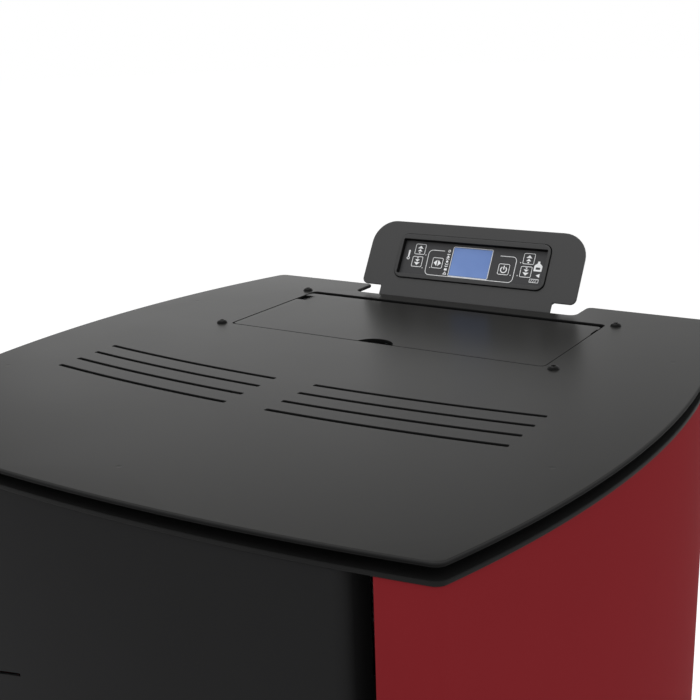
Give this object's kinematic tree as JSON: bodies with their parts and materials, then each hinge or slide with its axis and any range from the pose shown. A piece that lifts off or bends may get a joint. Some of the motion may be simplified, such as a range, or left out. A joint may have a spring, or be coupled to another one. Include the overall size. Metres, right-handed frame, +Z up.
{
  "type": "pellet stove",
  "caption": "Free-standing pellet stove with bowed black front, bowed red sides, hopper lid in a slotted top and a leaning control panel.",
  "frame": {"origin": "on the floor at the centre of the bounding box", "axes": "+Z up, -Y towards the fire door, +X to the right seen from the front"},
  "size_m": [0.479, 0.5506, 1.0071],
  "materials": {
    "black_paint": "satin black powder coat",
    "red_paint": "satin deep red powder coat",
    "cast_iron": "stove black on cast iron and thick plate",
    "steel": "plain steel",
    "zinc_sheet": "zinc-coated sheet",
    "black_plastic": "fine-grained black plastic",
    "rubber": "matt rubber",
    "rope_seal": "braided glass-fibre rope",
    "ceramic_glass": "clear ceramic glass, slightly brown",
    "screen_glass": "blue backlit display window",
    "refractory": null,
    "circuit_board": "circuit board with parts"
  },
  "bodies": {
    "casing": {"top_plate": "black_paint", "rim_plate": "black_paint", "upper_front_panel": "black_paint", "lower_front_panel": "black_paint", "rear_panel": "black_paint", "base_frame": "black_paint", "panel_bracket": "black_paint", "exhaust_motor": "black_paint", "flue_spigot": "black_paint", "side_panel_left": "red_paint", "side_panel_right": "red_paint", "fire_chamber": "cast_iron", "baffle_plate": "cast_iron", "lid_pin_left": "steel", "lid_pin_right": "steel", "auger_tube": "steel", "auger_gearmotor": "steel", "door_pin_top": "steel", "door_pin_bottom": "steel", "igniter": "steel", "exhaust_fan_housing": "steel", "hopper": "zinc_sheet", "feed_chute": "zinc_sheet", "air_intake_pipe": "zinc_sheet", "room_fan_housing": "zinc_sheet", "display_housing": "black_plastic", "display_foil": "black_plastic", "mains_inlet": "black_plastic", "display_module": "screen_glass", "fire_back": "refractory", "control_board": "circuit_board", "hopper_screw_front_left": "black_paint", "hopper_screw_rear_left": "black_paint", "hopper_screw_front_right": "black_paint", "hopper_screw_rear_right": "black_paint", "foot_front_left": "rubber", "foot_front_right": "rubber", "foot_rear_left": "rubber", "foot_rear_right": "rubber"},
    "lid": {"hopper_lid": "black_paint"},
    "door": {"door_frame": "cast_iron", "door_glass": "ceramic_glass", "glass_retainer": "steel", "door_gasket": "rope_seal"},
    "handle": {"door_handle": "steel", "door_latch": "steel"},
    "ash_drawer": {"ash_tray": "zinc_sheet", "ash_drawer_front": "black_paint"},
    "burn_pot": {"burn_pot": "cast_iron"},
    "auger": {"auger_screw": "steel"},
    "exhaust_wheel": {"exhaust_impeller": "steel"},
    "room_fan": {"room_fan_rotor": "steel"},
    "rocker": {"rocker_switch": "black_plastic"},
    "key_up_left": {"key_up_left": "black_plastic"},
    "key_down_left": {"key_down_left": "black_plastic"},
    "key_mode": {"key_mode": "black_plastic"},
    "key_power": {"key_power": "black_plastic"},
    "key_up_right": {"key_up_right": "black_plastic"},
    "key_down_right": {"key_down_right": "black_plastic"}
  },
  "joints": [
    {"name": "lid_hinge", "type": "hinge", "parent": "casing", "child": "lid", "pos_m": [0, 0.15686, 0.942], "axis": [-1, 0, 0], "range_deg": [0, 95]},
    {"name": "door_hinge", "type": "hinge", "parent": "casing", "child": "door", "pos_m": [-0.15, -0.21864, 0.527], "axis": [0, 0, -1], "range_deg": [0, 105]},
    {"name": "handle_turn", "type": "hinge", "parent": "door", "child": "handle", "pos_m": [0.145, -0.24064, 0.527], "axis": [0, -1, 0], "range_deg": [0, 45]},
    {"name": "ash_drawer_slide", "type": "slide", "parent": "casing", "child": "ash_drawer", "axis": [0, -1, 0], "range_m": [0, 0.14]},
    {"name": "burn_pot_lift", "type": "slide", "parent": "casing", "child": "burn_pot", "axis": [0, 0, 1], "range_m": [0, 0.045]},
    {"name": "auger_spin", "type": "hinge", "parent": "casing", "child": "auger", "pos_m": [0, 0.12436, 0.43], "axis": [0, -0.7071, 0.7071], "continuous": true},
    {"name": "exhaust_spin", "type": "hinge", "parent": "casing", "child": "exhaust_wheel", "pos_m": [-0.072, -0.00934, 0.25], "axis": [0, 1, 0], "continuous": true},
    {"name": "room_fan_spin", "type": "hinge", "parent": "casing", "child": "room_fan", "pos_m": [0, -0.11914, 0.07665], "axis": [1, 0, 0], "continuous": true},
    {"name": "rocker_tilt", "type": "hinge", "parent": "casing", "child": "rocker", "pos_m": [0.148, 0.22266, 0.138], "axis": [-1, 0, 0], "range_deg": [0, 16]},
    {"name": "key_up_left_press", "type": "slide", "parent": "casing", "child": "key_up_left", "axis": [0, 0.8594, -0.5113], "range_m": [0, 0.0004], "stiffness_N_per_m": 800, "springref_m": -0.0003},
    {"name": "key_down_left_press", "type": "slide", "parent": "casing", "child": "key_down_left", "axis": [0, 0.8594, -0.5113], "range_m": [0, 0.0004], "stiffness_N_per_m": 800, "springref_m": -0.0003},
    {"name": "key_mode_press", "type": "slide", "parent": "casing", "child": "key_mode", "axis": [0, 0.8594, -0.5113], "range_m": [0, 0.0004], "stiffness_N_per_m": 800, "springref_m": -0.0003},
    {"name": "key_power_press", "type": "slide", "parent": "casing", "child": "key_power", "axis": [0, 0.8594, -0.5113], "range_m": [0, 0.0004], "stiffness_N_per_m": 800, "springref_m": -0.0003},
    {"name": "key_up_right_press", "type": "slide", "parent": "casing", "child": "key_up_right", "axis": [0, 0.8594, -0.5113], "range_m": [0, 0.0004], "stiffness_N_per_m": 800, "springref_m": -0.0003},
    {"name": "key_down_right_press", "type": "slide", "parent": "casing", "child": "key_down_right", "axis": [0, 0.8594, -0.5113], "range_m": [0, 0.0004], "stiffness_N_per_m": 800, "springref_m": -0.0003}
  ]
}
